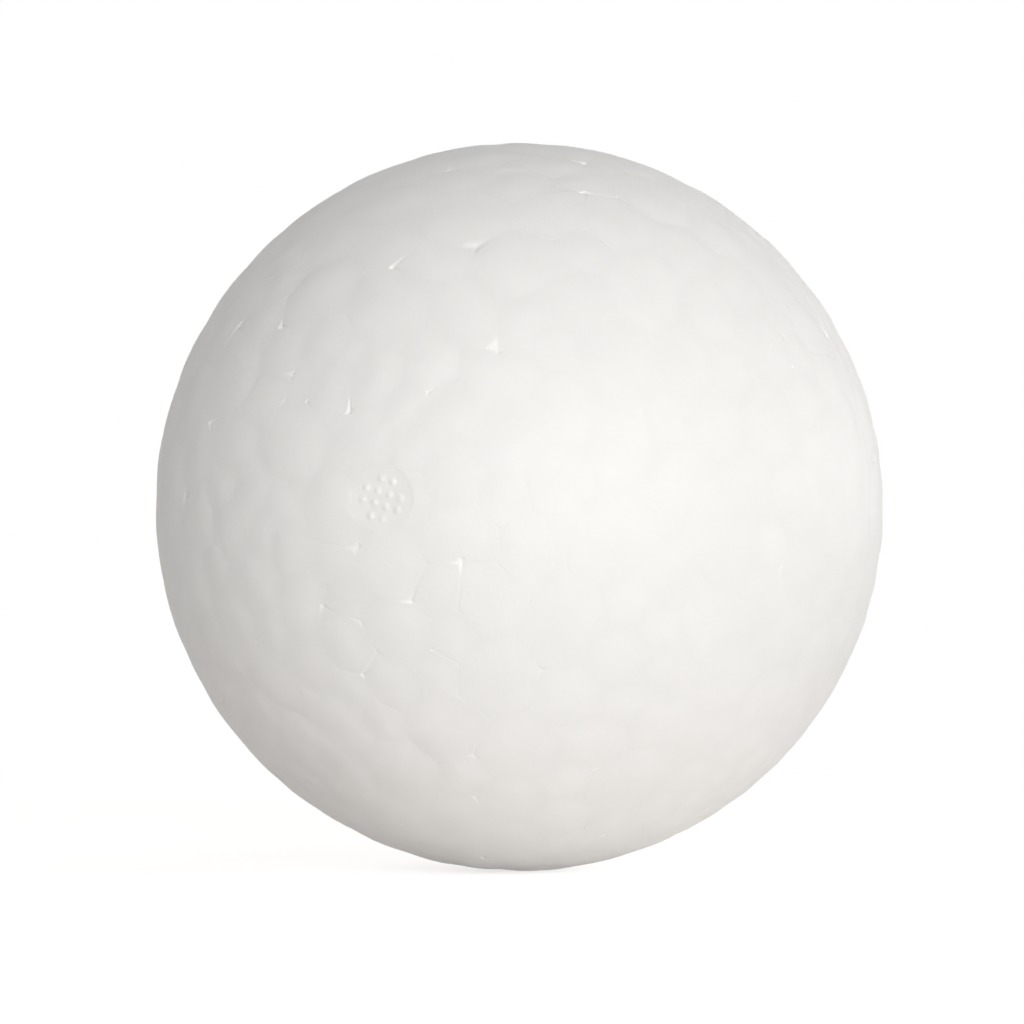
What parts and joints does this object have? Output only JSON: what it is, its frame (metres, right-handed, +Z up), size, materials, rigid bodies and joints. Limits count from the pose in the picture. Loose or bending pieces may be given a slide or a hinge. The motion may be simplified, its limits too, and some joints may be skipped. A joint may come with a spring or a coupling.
{
  "type": "polystyrene ball",
  "caption": "White craft ball moulded in one piece from expanded polystyrene beads, with a round core vent print at each end of its mould axis and a low parting ridge.",
  "frame": {"origin": "centre of the ball", "axes": "+Y along the mould axis, through the two core vent prints, with the print that the picture shows on -Y; XZ is the mould's parting plane; +Z is up as pictured"},
  "size_m": [0.0601, 0.06, 0.06],
  "materials": {
    "foam": "moulded expanded polystyrene, white, matt, beads pressed flat by the mould"
  },
  "bodies": {
    "root": {"ball": "foam"}
  },
  "joints": []
}
